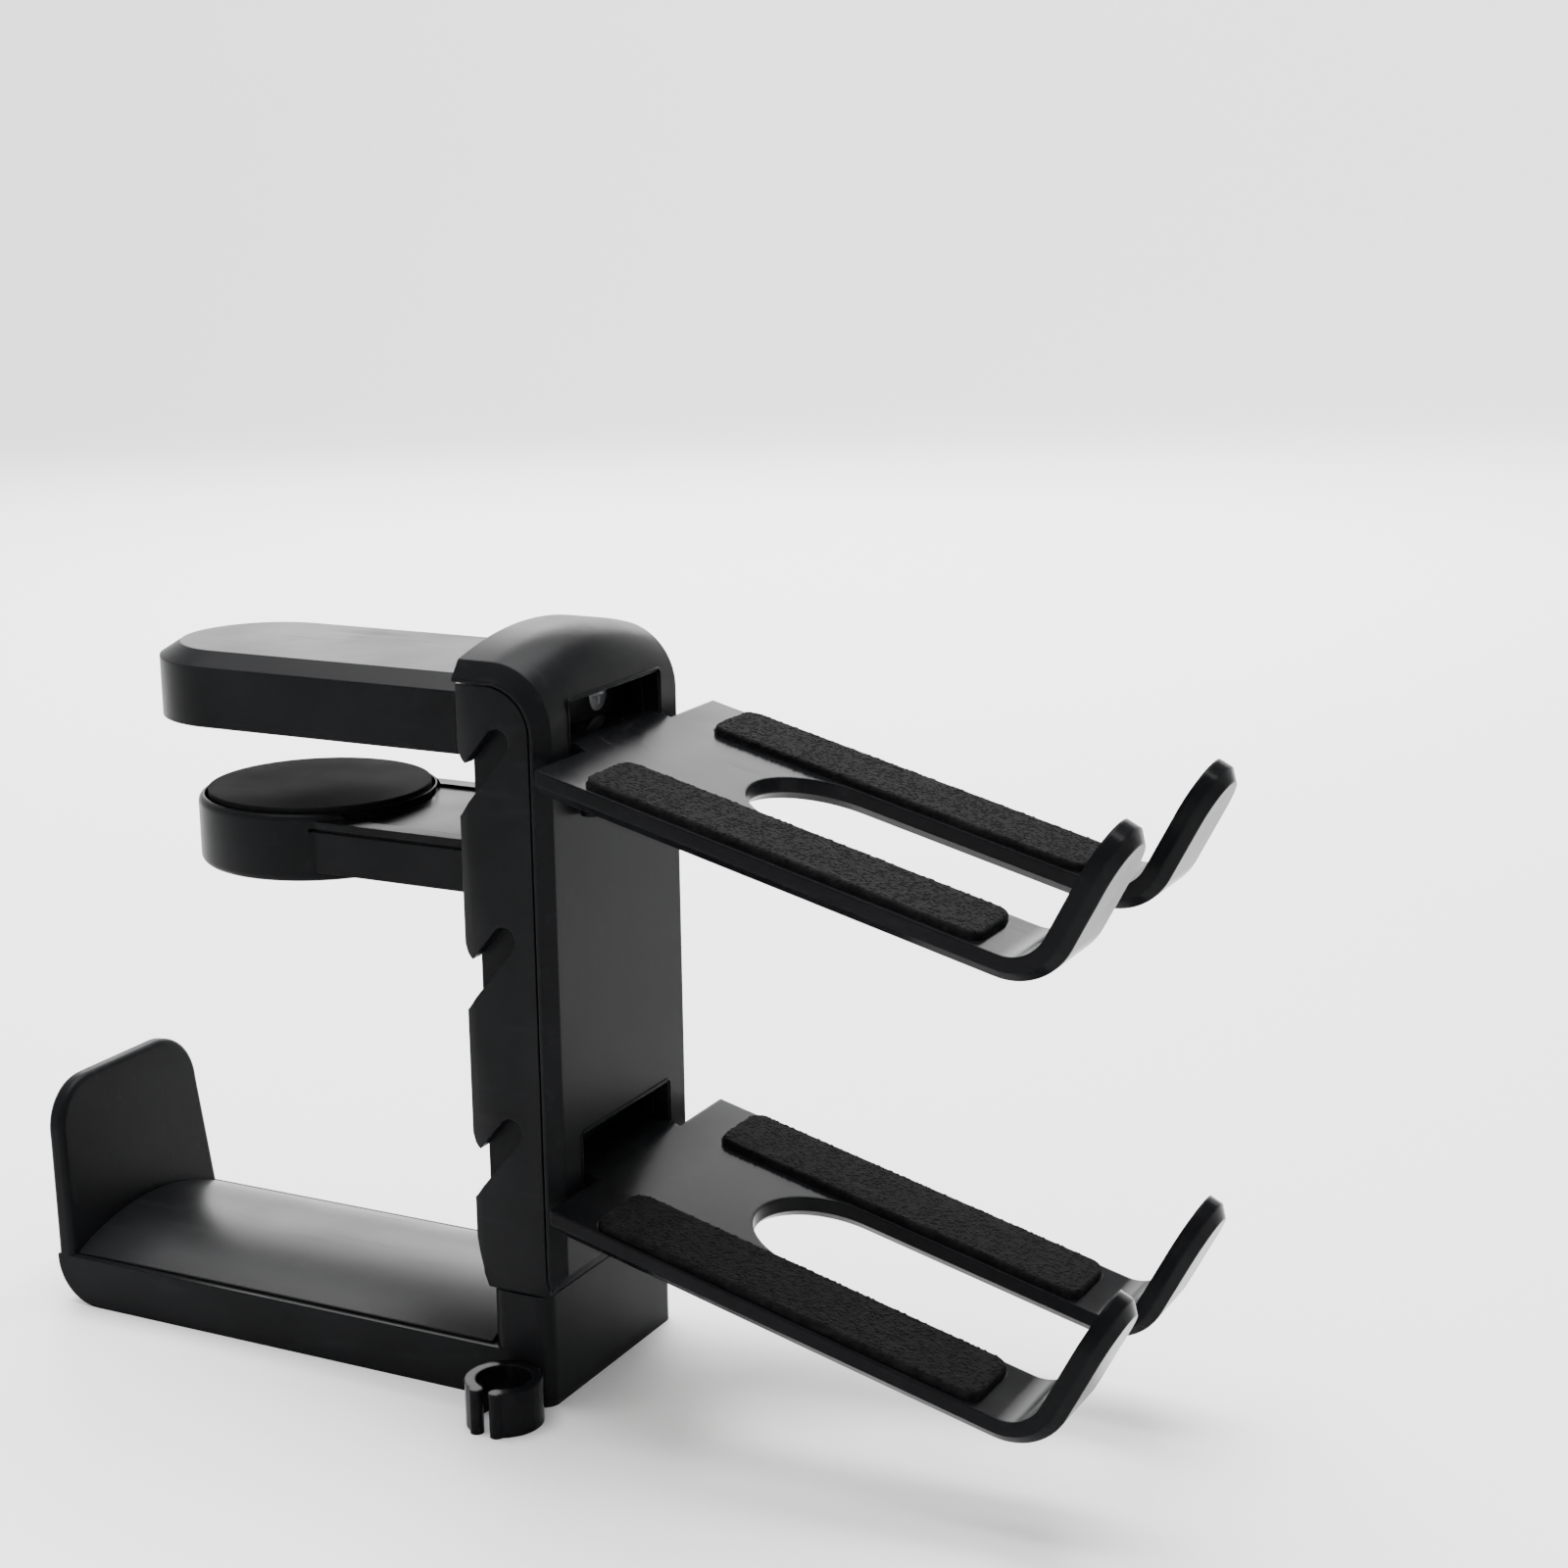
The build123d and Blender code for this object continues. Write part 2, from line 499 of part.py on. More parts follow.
def jaw_slider():
    """Shoe behind the lips of the rail, joined to the sliding jaw."""
    wing = RAIL_INNER - SLIP
    x0 = RAIL_REAR + RAIL_LIP + SLIP
    x1 = x0 + SHOE_T
    middle = (ARM2_TOP + ARM2_BOTTOM) / 2
    shoe = block(x0, x1, -wing, wing, middle - SHOE_H / 2, middle + SHOE_H / 2)
    for side in (-1, 1):
        z0, z1 = sorted((middle + side * SHOE_BAR / 2, middle + side * (SHOE_H / 2 + 1)))
        shoe = shoe - block(x0 - 1, x1 + 1, -wing / 1.5, wing / 1.5, z0, z1)
    return shoe


def flatted(radius, half_flat, z0, z1):
    """A round bar on the screw axis with two flats facing along Y."""
    bar = disc(HUB_X, 0, radius, z0, z1)
    return bar & block(HUB_X - radius - 1, HUB_X + radius + 1, -half_flat, half_flat, z0, z1)


def clamp_screw():
    """Flatted screw of the pressure pad, fixed in the plate and kept from turning."""
    bar = flatted(SCREW_R, SCREW_FLAT, SCREW_END, PLATE_UNDER)
    return bar + disc(HUB_X, 0, SCREW_FLAT, PLATE_UNDER - 0.5, PLATE_UNDER + PLATE_T - 0.2)


def thumb_wheel():
    """Captive wheel in the underside of the hub that drives the screw up and down."""
    foot = WHEEL_UNDER - GRIP_H
    grip = disc(HUB_X, 0, GRIP_R, foot, WHEEL_UNDER + 0.1)
    for k in range(WHEEL_LOBES):
        a = 2 * math.pi * k / WHEEL_LOBES
        grip = grip - disc(HUB_X + (GRIP_R + 0.8) * math.cos(a),
                           (GRIP_R + 0.8) * math.sin(a), 1.7, foot - 1, WHEEL_UNDER)
    wheel = disc(HUB_X, 0, WHEEL_R, WHEEL_UNDER, WHEEL_TOP) + grip
    dish = disc(HUB_X, 0, GRIP_R - 3.5, foot - 1, foot + 0.6)
    return wheel - dish - disc(HUB_X, 0, SCREW_R + THREAD_GAP, foot - 1, WHEEL_TOP + 1)


def wheel_ring():
    """Ring pressed into the mouth of the hub that holds the wheel in."""
    ring = disc(HUB_X, 0, RING_R, RING_UNDER, RING_UNDER + RING_T)
    return ring - disc(HUB_X, 0, GRIP_R + SLIP + 0.1, RING_UNDER - 1, RING_UNDER + RING_T + 1)


def pad_plate():
    """Stiff plate under the soft disc, with a socket for the end of the screw."""
    plate = disc(HUB_X, 0, PLATE_R, PLATE_UNDER, PLATE_UNDER + PLATE_T)
    return plate - disc(HUB_X, 0, SCREW_FLAT, PLATE_UNDER - 1, PLATE_UNDER + PLATE_T - 0.2)


def clamp_pad():
    """Soft disc that presses on the underside of the desk, slightly domed."""
    z0 = PLATE_UNDER + 0.6
    edge = PAD_TOP - PAD_DOME
    body = disc(HUB_X, 0, PAD_R, z0, edge)
    ball = (PAD_R ** 2 + PAD_DOME ** 2) / (2 * PAD_DOME)
    dome = Pos(HUB_X, 0, PAD_TOP - ball) * Sphere(ball)
    dome = dome & disc(HUB_X, 0, PAD_R, edge - 0.3, PAD_TOP + 1)
    room = disc(HUB_X, 0, PLATE_R, z0 - 1, PLATE_UNDER + PLATE_T)
    return body + dome - room


# ---------------------------------------------------------------- swivel pieces
def swivel_washers():
    """Two slip washers, one under the foot of the rail and one over it."""
    ring = disc(0, 0, SHOULDER_HEAD_R, 0, WASHER_T) - disc(0, 0, SHOULDER_R + RUN, -1, WASHER_T + 1)
    return Compound(children=[Pos(0, 0, BASE_H) * ring, Pos(0, 0, FOOT_TOP) * ring])


SCREW_HEAD_UNDER = FOOT_TOP + WASHER_T


def swivel_screw():
    """Shoulder screw the hook turns on."""
    shoulder = disc(0, 0, SHOULDER_R, BASE_H, SCREW_HEAD_UNDER + 0.1)
    head = disc(0, 0, SHOULDER_HEAD_R, SCREW_HEAD_UNDER, SCREW_HEAD_UNDER + SHOULDER_HEAD_H)
    shank = disc(0, 0, SWIVEL_THREAD_R, BASE_H - INSERT_H + 1, BASE_H + 0.1)
    z1 = SCREW_HEAD_UNDER + SHOULDER_HEAD_H
    socket = Pos(0, 0, z1 - 0.8) * extrude(RegularPolygon(1.9, 6), 1.6)
    return shoulder + head + shank - socket


def swivel_insert():
    """Brass insert in the top of the base block."""
    body = disc(0, 0, INSERT_R, BASE_H - INSERT_H, BASE_H - 0.02)
    for z in (BASE_H - INSERT_H + 2.2, BASE_H - 2.6):
        body = body - (disc(0, 0, INSERT_R + 1, z, z + 0.8) - disc(0, 0, INSERT_R - 0.4, z, z + 0.8))
    return body - disc(0, 0, SWIVEL_THREAD_R, BASE_H - INSERT_H - 1, BASE_H + 1)


# ---------------------------------------------------------------- hook
def tip_outline():
    """Front outline of the tip, from inside the arm to the rounded shoulders."""
    shoulder_z = TIP_TOP - TIP_SHOULDER_R
    shoulder = HALF_HOOK - TIP_DRAW[0]
    head = HALF_HOOK - TIP_DRAW[1]
    points = [(-HALF_HOOK, TIP_HEEL_R), (HALF_HOOK, TIP_HEEL_R), (HALF_HOOK, ARM_H),
              (shoulder, shoulder_z), (head, TIP_TOP), (-head, TIP_TOP),
              (-shoulder, shoulder_z), (-HALF_HOOK, ARM_H)]
    solid = prism_x(points, ARM_TIP_X, ARM_TIP_X + TIP_T)
    corners = solid.edges().filter_by(Axis.X).group_by(Axis.Z)[-1]
    return fillet(corners, TIP_SHOULDER_R - 1.0)


def on_tip_rim(edge):
    """Whether an edge runs round the front or the back of the tip, above the arm."""
    box = edge.bounding_box()
    return box.size.X < 0.01 and box.min.Z > ARM_H - 0.1


def hook_tip():
    """Leaning tip plate with its rim rounded."""
    plate = tip_outline()
    plate = fillet(plate.edges().filter_by(on_tip_rim), min(TIP_EDGE_R, TIP_T / 2 - 0.1))
    turned = plate.rotate(Axis((ARM_TIP_X, 0, ARM_H), (0, 1, 0)), -TIP_LEAN)
    return turned - block(ARM_TIP_X - TIP_T, ARM_TIP_X + 2 * TIP_T, -HALF_HOOK - 1,
                          HALF_HOOK + 1, 0, ARM_H - 0.05)


def hook_arm():
    """Flat arm from the base block out to the rounded heel under the tip."""
    arm = block(ARM_TIP_X, 0, -HALF_HOOK, HALF_HOOK, 0, ARM_H)
    heel = arm.edges().filter_by(Axis.Y).group_by(Axis.X)[0].group_by(Axis.Z)[0]
    return fillet(heel, TIP_HEEL_R)


def headphone_hook():
    """Base block, arm and upturned tip in one moulding, ribbed underneath."""
    arm = hook_arm() + hook_tip()
    base = block(-BASE_HALF, BASE_HALF, -HALF_HOOK, HALF_HOOK, 0, BASE_H)
    base = fillet(base.edges().filter_by(Axis.Z), BASE_EDGE_R)
    inner = ARM_TIP_X + TIP_T
    pocket = block(inner, -BASE_HALF - REST_BORDER, -HALF_HOOK + ARM_RIM, HALF_HOOK - ARM_RIM,
                   ARM_FLOOR, BASE_H)
    hook = arm - pocket + base
    cell_x0 = inner + ARM_SHELL
    pitch = (-BASE_HALF - ARM_SHELL - cell_x0 + RIB_T) / CELLS
    for k in range(CELLS):
        for side in (-1, 1):
            x0 = cell_x0 + k * pitch
            y0, y1 = sorted((side * RIB_T / 2, side * (HALF_HOOK - ARM_RIM - ARM_SHELL)))
            hook = hook - block(x0, x0 + pitch - RIB_T, y0, y1, -1, ARM_FLOOR - ARM_SHELL)
    hook = hook - disc(0, 0, INSERT_R, BASE_H - INSERT_H, BASE_H + 1)
    return hook - clip_key(SEAT / 3)


def headband_rest():
    """Crowned soft rest laid in the arm of the hook."""
    half = HALF_HOOK - ARM_RIM - SEAT
    arc = ThreePointArc((0, -half, REST_EDGE), (0, 0, REST_EDGE + REST_CROWN), (0, half, REST_EDGE))
    face = make_face([arc, Line((0, half, REST_EDGE), (0, half, ARM_FLOOR)),
                      Line((0, half, ARM_FLOOR), (0, -half, ARM_FLOOR)),
                      Line((0, -half, ARM_FLOOR), (0, -half, REST_EDGE))])
    x0 = ARM_TIP_X + TIP_T + SEAT
    x1 = -BASE_HALF - REST_BORDER - SEAT
    return Pos(x0, 0, 0) * extrude(face, x1 - x0, dir=(1, 0, 0))


def clip_key(extra):
    """Key of the cable clip in the side of the base, larger all round by extra."""
    across, deep = CLIP_NECK
    return block(CLIP_X - across / 2 - extra, CLIP_X + across / 2 + extra,
                 CLIP_Y + CLIP_BORE + CLIP_WALL / 2, -HALF_HOOK + deep + extra,
                 0.8 - extra, CLIP_H - 0.8 + extra)


def cable_clip():
    """Open ring for a cable, keyed into the side of the base block."""
    ring = disc(CLIP_X, CLIP_Y, CLIP_R, 0, CLIP_H) - disc(CLIP_X, CLIP_Y, CLIP_BORE, -1, CLIP_H + 1)
    half = math.radians(CLIP_GAP / 2)
    far = CLIP_R + 3
    side_x, side_y = far * math.sin(half), far * math.cos(half)
    wedge = make_face(Polyline([(CLIP_X, CLIP_Y, -1), (CLIP_X - side_x, CLIP_Y - side_y, -1),
                                (CLIP_X + side_x, CLIP_Y - side_y, -1)], close=True))
    ring = ring - extrude(wedge, CLIP_H + 2, dir=(0, 0, 1))
    mid = CLIP_BORE + CLIP_WALL / 2
    for side in (-1, 1):
        ring = ring + disc(CLIP_X + side * mid * math.sin(half), CLIP_Y - mid * math.cos(half) - 0.3,
                           CLIP_WALL / 2 + 0.25, 0, CLIP_H)
    return ring + clip_key(0.0)


# ---------------------------------------------------------------- trays
def tray_line(inset):
    """Top (inset 0) or bottom line of a tray: root, bend start, bend end, finger end."""
    droop = math.radians(TRAY_DROOP)
    up = math.radians(FINGER_ANGLE)
    down_n = (-math.sin(droop), -math.cos(droop))
    out_n = (math.sin(up), -math.cos(up))
    turn = droop + up
    reach = BEND_R * math.tan(turn / 2)
    cx, cz = TRAY_CORNER
    start = (cx - reach * math.cos(droop), cz + reach * math.sin(droop))
    end = (cx + reach * math.cos(up), cz + reach * math.sin(up))
    length = (FINGER_TOP - end[1]) / math.sin(up)
    top = (end[0] + length * math.cos(up), FINGER_TOP)
    rx, rz = TRAY_ROOT
    root = (rx, cz + (cx - rx) * math.tan(droop))
    hub = (start[0] - BEND_R * down_n[0], start[1] - BEND_R * down_n[1])
    mid_a = (-math.pi / 2 - droop + up - math.pi / 2) / 2
    shift = [(p[0] + n[0] * inset, p[1] + n[1] * inset)
             for p, n in ((root, down_n), (start, down_n), (end, out_n), (top, out_n))]
    r = BEND_R + inset
    mid = (hub[0] + r * math.cos(mid_a), hub[1] + r * math.sin(mid_a))
    return shift[0], shift[1], mid, shift[2], shift[3]


def tray_band():
    """Side form of a tray with its upturned end, carried across the full width."""
    top = tray_line(0.0)
    low = tray_line(TRAY_T)
    low_root = (TRAY_ROOT[0], low[1][1] + (low[1][0] - TRAY_ROOT[0]) * DROOP_RUN)

    def at(p):
        return (p[0], -TRAY_W / 2, p[1])
    outline = [Line(at(top[0]), at(top[1])), ThreePointArc(at(top[1]), at(top[2]), at(top[3])),
               Line(at(top[3]), at(top[4])), Line(at(top[4]), at(low[4])),
               Line(at(low[4]), at(low[3])), ThreePointArc(at(low[3]), at(low[2]), at(low[1])),
               Line(at(low[1]), at(low_root)), Line(at(low_root), at(top[0]))]
    return extrude(make_face(outline), TRAY_W, dir=(0, 1, 0))


def along_tray(x):
    """Height of the top face of the upper tray at x."""
    return TRAY_CORNER[1] + (TRAY_CORNER[0] - x) * DROOP_RUN


def on_tray(x, lift=0.0):
    """Placement on the top face of the upper tray, turned to its droop."""
    return Pos(x, 0, along_tray(x)) * Rot(0, TRAY_DROOP, 0) * Pos(0, 0, lift)


def pad_spans():
    """Start and length of the pads along the drooping top face."""
    x0 = TRAY_ROOT[0] + TRAY_PAD_START
    x1 = TRAY_CORNER[0] - TRAY_PAD_END
    return x0, (x1 - x0) / math.cos(math.radians(TRAY_DROOP))


def rounded_slab(length, width, z0, z1, radius):
    """A slab from x = 0 to length with rounded upright edges."""
    slab = block(0, length, -width / 2, width / 2, z0, z1)
    return fillet(slab.edges().filter_by(Axis.Z), radius)


def pad_y(side):
    """Middle of a grip pad on the chosen prong."""
    return side * (TRAY_W / 2 - TRAY_PAD_INSET - TRAY_PAD_W / 2)


def tray():
    """Upper tray: forked plate with upturned fingers, tongue and lug."""
    band = tray_band()
    z0, z1 = TRAY_CORNER[1] - 2 * TRAY_T, FINGER_TOP + TRAY_ROOT[1]
    round_x = PRONG_ROOT_X + PRONG_GAP / 2
    slot = block(round_x, TRAY_CORNER[0] + FINGER_RISE + 10, -PRONG_GAP / 2, PRONG_GAP / 2, z0, z1)
    body = band - slot - disc(round_x, 0, PRONG_GAP / 2, z0, z1)
    up = math.radians(FINGER_ANGLE)
    top = tray_line(0.0)
    for side in (-1, 1):
        mid_y = side * (PRONG_GAP / 2 + PRONG_W / 2)
        r = PRONG_W / 2
        height = FINGER_RISE
        centre = Pos(top[4][0] - r * math.cos(up), mid_y, top[4][1] - r * math.sin(up))
        frame = centre * Rot(0, 90 - FINGER_ANGLE, 0)
        blank = frame * Pos(0, 0, height / 2) * Box(4 * TRAY_T, PRONG_W + 4, height)
        keep = frame * Rot(0, 90, 0) * Cylinder(r, 4 * TRAY_T + 1)
        body = body - (blank - keep)
    body = chamfer(body.edges().filter_by(on_under_rim), UNDER_BEVEL)
    x0, span = pad_spans()
    for side in (-1, 1):
        sunk = rounded_slab(span + 2 * SEAT, TRAY_PAD_W + 2 * SEAT, -TRAY_PAD_SUNK, 1.0,
                            TRAY_PAD_R + SEAT)
        body = body - on_tray(x0) * Pos(-SEAT, pad_y(side), 0) * sunk
    return body + tray_tongue() + tray_lugs()


def on_under_rim(edge):
    """Whether an edge lies on the underside rim of the prongs and fingers."""
    p = edge.center()
    low = tray_line(TRAY_T)
    if abs(abs(p.Y) - TRAY_W / 2) > 0.01 and abs(abs(p.Y) - PRONG_GAP / 2) > 0.01:
        return False
    if p.X > low[1][0] + 1.0:
        away = math.hypot(p.X - low[2][0], p.Z - low[2][1])
        line = abs((p.X - low[4][0]) * math.sin(math.radians(FINGER_ANGLE))
                   - (p.Z - low[4][1]) * math.cos(math.radians(FINGER_ANGLE)))
        return away < 1.5 or line < 0.05
    return abs(p.Z - (along_tray(p.X) - TRAY_T / math.cos(math.radians(TRAY_DROOP)))) < 0.05


def tray_tongue():
    """Tongue over the sill of the window, with its hanging lip behind the web."""
    half = TONGUE_W / 2
    sill = WINDOW_SILLS[1]
    x_lip = WEB_REAR - SLIP
    root_z = along_tray(TRAY_ROOT[0])
    strap = prism_y([(TRAY_ROOT[0] + 2.5, root_z - 0.7), (TRAY_ROOT[0], root_z),
                     (SPINE_FRONT + 0.6, sill + TONGUE_T), (x_lip - TONGUE_T, sill + TONGUE_T),
                     (x_lip - TONGUE_T, sill), (SPINE_FRONT + SEAT, sill),
                     (SPINE_FRONT + SEAT, sill - 1.2), (TRAY_ROOT[0], root_z - TRAY_T),
                     (TRAY_ROOT[0] + 2.5, root_z - TRAY_T - 0.6)], -half, half)
    lip = block(x_lip - TONGUE_T, x_lip, -half, half, sill - TONGUE_HANG, sill + TONGUE_T)
    return strap + lip


def tray_lugs():
    """Two round lugs under the root that bear on the front face of the spine."""
    x = SPINE_FRONT + SEAT + LUG_R
    seat = TRAY_ROOT[1] - TRAY_T
    lugs = [disc(x, side * LUG_Y, LUG_R, WINDOW_SILLS[1] - LUG_DOWN, seat + 0.8)
            for side in (-1, 1)]
    foot = block(x, TRAY_ROOT[0] + 3.0, -LUG_Y - 1, LUG_Y + 1, seat - 0.6, seat + 0.8)
    return lugs[0] + lugs[1] + foot


def tray_pads():
    """The two grip pads of the upper tray."""
    x0, span = pad_spans()
    pads = []
    for side in (-1, 1):
        slab = rounded_slab(span, TRAY_PAD_W, -TRAY_PAD_SUNK, TRAY_PAD_T - TRAY_PAD_SUNK,
                            TRAY_PAD_R)
        slab = fillet(slab.faces().sort_by(Axis.Z)[-1].edges(), 0.5)
        pads.append(on_tray(x0) * Pos(0, pad_y(side), 0) * slab)
    return pads


def place(shape):
    """The same piece on the lower tray."""
    return Pos(0, 0, -TRAY_STEP) * shape


def build_nodes():
    """Every node by name."""
    upper = tray()
    pads = tray_pads()
    return {
        "spine_cover": spine_cover(),
        "spine_housing": spine_housing(),
        "inner_rail": inner_rail(),
        "cover_screws": cover_screws(),
        "top_jaw": top_jaw(),
        "top_jaw_pad": top_jaw_pad(),
        "jaw_screws": jaw_screws(),
        "lower_jaw": lower_jaw(),
        "jaw_slider": jaw_slider(),
        "wheel_ring": wheel_ring(),
        "thumb_wheel": thumb_wheel(),
        "clamp_screw": clamp_screw(),
        "pad_plate": pad_plate(),
        "clamp_pad": clamp_pad(),
        "swivel_washers": swivel_washers(),
        "swivel_screw": swivel_screw(),
        "swivel_insert": swivel_insert(),
        "headphone_hook": headphone_hook(),
        "headband_rest": headband_rest(),
        "cable_clip": cable_clip(),
        "upper_tray": upper,
        "upper_pad_near": pads[0],
        "upper_pad_far": pads[1],
        "lower_tray": place(upper),
        "lower_pad_near": place(pads[0]),
        "lower_pad_far": place(pads[1]),
    }


for node, shape in build_nodes().items():
    export_step(shape, f"parts/{node}.step")
    box = shape.bounding_box()
    print(f"{node:18s} solids {len(shape.solids()):2d}  volume {shape.volume:9.1f}"
          f"  x {box.min.X:7.2f} {box.max.X:7.2f}  y {box.min.Y:7.2f} {box.max.Y:7.2f}"
          f"  z {box.min.Z:7.2f} {box.max.Z:7.2f}")
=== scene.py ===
import json
import logging
import math
from dataclasses import dataclass, field
from enum import Enum

import bpy
from mathutils import Matrix, Vector


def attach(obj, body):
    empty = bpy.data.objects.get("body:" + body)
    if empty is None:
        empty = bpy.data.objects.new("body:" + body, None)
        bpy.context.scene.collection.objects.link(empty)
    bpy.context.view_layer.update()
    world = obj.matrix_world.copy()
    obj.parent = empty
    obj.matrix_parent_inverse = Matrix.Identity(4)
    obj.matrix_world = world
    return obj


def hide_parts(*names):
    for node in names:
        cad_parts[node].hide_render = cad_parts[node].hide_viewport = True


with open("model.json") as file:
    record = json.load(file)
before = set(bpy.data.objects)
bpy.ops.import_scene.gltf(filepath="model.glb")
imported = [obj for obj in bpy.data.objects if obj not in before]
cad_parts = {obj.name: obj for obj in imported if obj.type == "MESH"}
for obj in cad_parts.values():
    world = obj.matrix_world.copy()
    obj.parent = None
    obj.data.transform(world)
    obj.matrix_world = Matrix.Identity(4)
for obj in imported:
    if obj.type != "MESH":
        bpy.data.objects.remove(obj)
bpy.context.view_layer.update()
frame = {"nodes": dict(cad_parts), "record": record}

log = logging.getLogger("scene")

MM = 0.001
WELD_GAP = 0.001 * MM      # corners closer than this are one corner
Colour = tuple[float, float, float]
Point = tuple[float, float, float]


class Slot(Enum):
    """Material slots of the record."""

    BLACK = "black_plastic"
    GLOSS = "gloss_black"
    REST = "satin_rest"
    RUBBER = "soft_rubber"
    FOAM = "grip_foam"
    NYLON = "nylon"
    STEEL = "screw_steel"
    BRASS = "brass"


class Grain(Enum):
    """Kinds of fine relief."""

    SPARK = "noise"
    PEBBLE = "cells"
    TURNED = "rings"


@dataclass(frozen=True)
class Wear:
    """How patches, scuffs and relief show in every finish.

    Each pair of stops is the part of a noise value that is spread over the
    whole range it drives.
    """

    patch_detail: float = 4.0
    scuff_scale: float = 60.0
    scuff_detail: float = 6.0
    scuff_stretch: Point = (1.0, 9.0, 5.0)
    scuff_turn: Point = (0.3, 0.2, 0.5)
    scuff_stops: tuple[float, float] = (0.60, 0.72)
    scuff_tint: float = 0.35
    scuff_rough: float = 0.06
    colour_stops: tuple[float, float] = (0.35, 0.95)
    rough_stops: tuple[float, float] = (0.3, 0.7)
    coat_rough: float = 0.12
    spark_detail: float = 3.0
    relief: float = 0.6
    edge_samples: int = 4


WEAR = Wear()


@dataclass(frozen=True)
class Finish:
    """A procedural finish on object coordinates, sizes in metres.

    colour and worn are the two ends of the colour patches; rough is the range of
    roughness; grain_size and grain_depth give the fine relief, patch_size the
    slow variation, and edge the radius that sharp edges seem rounded to.
    """

    slot: Slot
    colour: Colour
    worn: Colour
    rough: tuple[float, float]
    grain: Grain
    grain_size: float
    grain_depth: float
    patch_size: float = 0.018
    metallic: float = 0.0
    ior: float = 1.5
    specular: float = 0.5
    coat: float = 0.0
    edge: float = 0.35 * MM

    def build(self) -> bpy.types.Material:
        """Make the material.

        Returns:
            The finished material, named after its slot.
        """
        mat = bpy.data.materials.new(self.slot.value)
        mat.use_nodes = True
        tree = mat.node_tree
        shader = tree.nodes["Principled BSDF"]
        shader.inputs["Metallic"].default_value = self.metallic
        shader.inputs["IOR"].default_value = self.ior
        shader.inputs["Specular IOR Level"].default_value = self.specular
        shader.inputs["Coat Weight"].default_value = self.coat
        shader.inputs["Coat Roughness"].default_value = WEAR.coat_rough
        where = tree.nodes.new("ShaderNodeTexCoord").outputs["Object"]
        patches = self._noise(tree, where, 1 / self.patch_size, WEAR.patch_detail)
        scuffs = self._scuffs(tree, where)
        self._colour(tree, shader, patches, scuffs)
        self._roughness(tree, shader, patches, scuffs)
        self._relief(tree, shader, where)
        return mat

    def _noise(self, tree: bpy.types.NodeTree, where: bpy.types.NodeSocket,
               scale: float, detail: float) -> bpy.types.NodeSocket:
        """Add a noise texture.

        Args:
            tree: The material's tree.
            where: Coordinates to read.
            scale: Features per metre.
            detail: Octaves.

        Returns:
            The noise value.
        """
        node = tree.nodes.new("ShaderNodeTexNoise")
        node.inputs["Scale"].default_value = scale
        node.inputs["Detail"].default_value = detail
        tree.links.new(where, node.inputs["Vector"])
        return node.outputs[0]

    def _scuffs(self, tree: bpy.types.NodeTree,
                where: bpy.types.NodeSocket) -> bpy.types.NodeSocket:
        """Add faint long handling marks.

        Args:
            tree: The material's tree.
            where: Coordinates to read.

        Returns:
            A mask from 0 to 1.
        """
        stretch = tree.nodes.new("ShaderNodeMapping")
        stretch.inputs["Scale"].default_value = WEAR.scuff_stretch
        stretch.inputs["Rotation"].default_value = WEAR.scuff_turn
        tree.links.new(where, stretch.inputs["Vector"])
        marks = self._noise(tree, stretch.outputs[0], WEAR.scuff_scale, WEAR.scuff_detail)
        cut = tree.nodes.new("ShaderNodeMapRange")
        cut.inputs["From Min"].default_value = WEAR.scuff_stops[0]
        cut.inputs["From Max"].default_value = WEAR.scuff_stops[1]
        tree.links.new(marks, cut.inputs["Value"])
        return cut.outputs[0]

    def _colour(self, tree: bpy.types.NodeTree, shader: bpy.types.Node,
                patches: bpy.types.NodeSocket, scuffs: bpy.types.NodeSocket) -> None:
        """Mix the two colours by the patches and the scuffs.

        Args:
            tree: The material's tree.
            shader: The Principled node.
            patches: Slow variation.
            scuffs: Handling marks.
        """
        both = tree.nodes.new("ShaderNodeMath")
        both.operation = "MULTIPLY_ADD"
        both.inputs[1].default_value = WEAR.scuff_tint
        tree.links.new(scuffs, both.inputs[0])
        tree.links.new(patches, both.inputs[2])
        ramp = tree.nodes.new("ShaderNodeValToRGB")
        fresh, handled = ramp.color_ramp.elements
        fresh.position, handled.position = WEAR.colour_stops
        fresh.color = (*self.colour, 1)
        handled.color = (*self.worn, 1)
        tree.links.new(both.outputs[0], ramp.inputs[0])
        tree.links.new(ramp.outputs[0], shader.inputs["Base Color"])

    def _roughness(self, tree: bpy.types.NodeTree, shader: bpy.types.Node,
                   patches: bpy.types.NodeSocket, scuffs: bpy.types.NodeSocket) -> None:
        """Vary the roughness by the patches and the scuffs.

        Args:
            tree: The material's tree.
            shader: The Principled node.
            patches: Slow variation.
            scuffs: Handling marks.
        """
        spread = tree.nodes.new("ShaderNodeMapRange")
        spread.inputs["From Min"].default_value = WEAR.rough_stops[0]
        spread.inputs["From Max"].default_value = WEAR.rough_stops[1]
        spread.inputs["To Min"].default_value = self.rough[0]
        spread.inputs["To Max"].default_value = self.rough[1]
        tree.links.new(patches, spread.inputs["Value"])
        rubbed = tree.nodes.new("ShaderNodeMath")
        rubbed.operation = "MULTIPLY_ADD"
        rubbed.inputs[1].default_value = WEAR.scuff_rough
        tree.links.new(scuffs, rubbed.inputs[0])
        tree.links.new(spread.outputs[0], rubbed.inputs[2])
        tree.links.new(rubbed.outputs[0], shader.inputs["Roughness"])

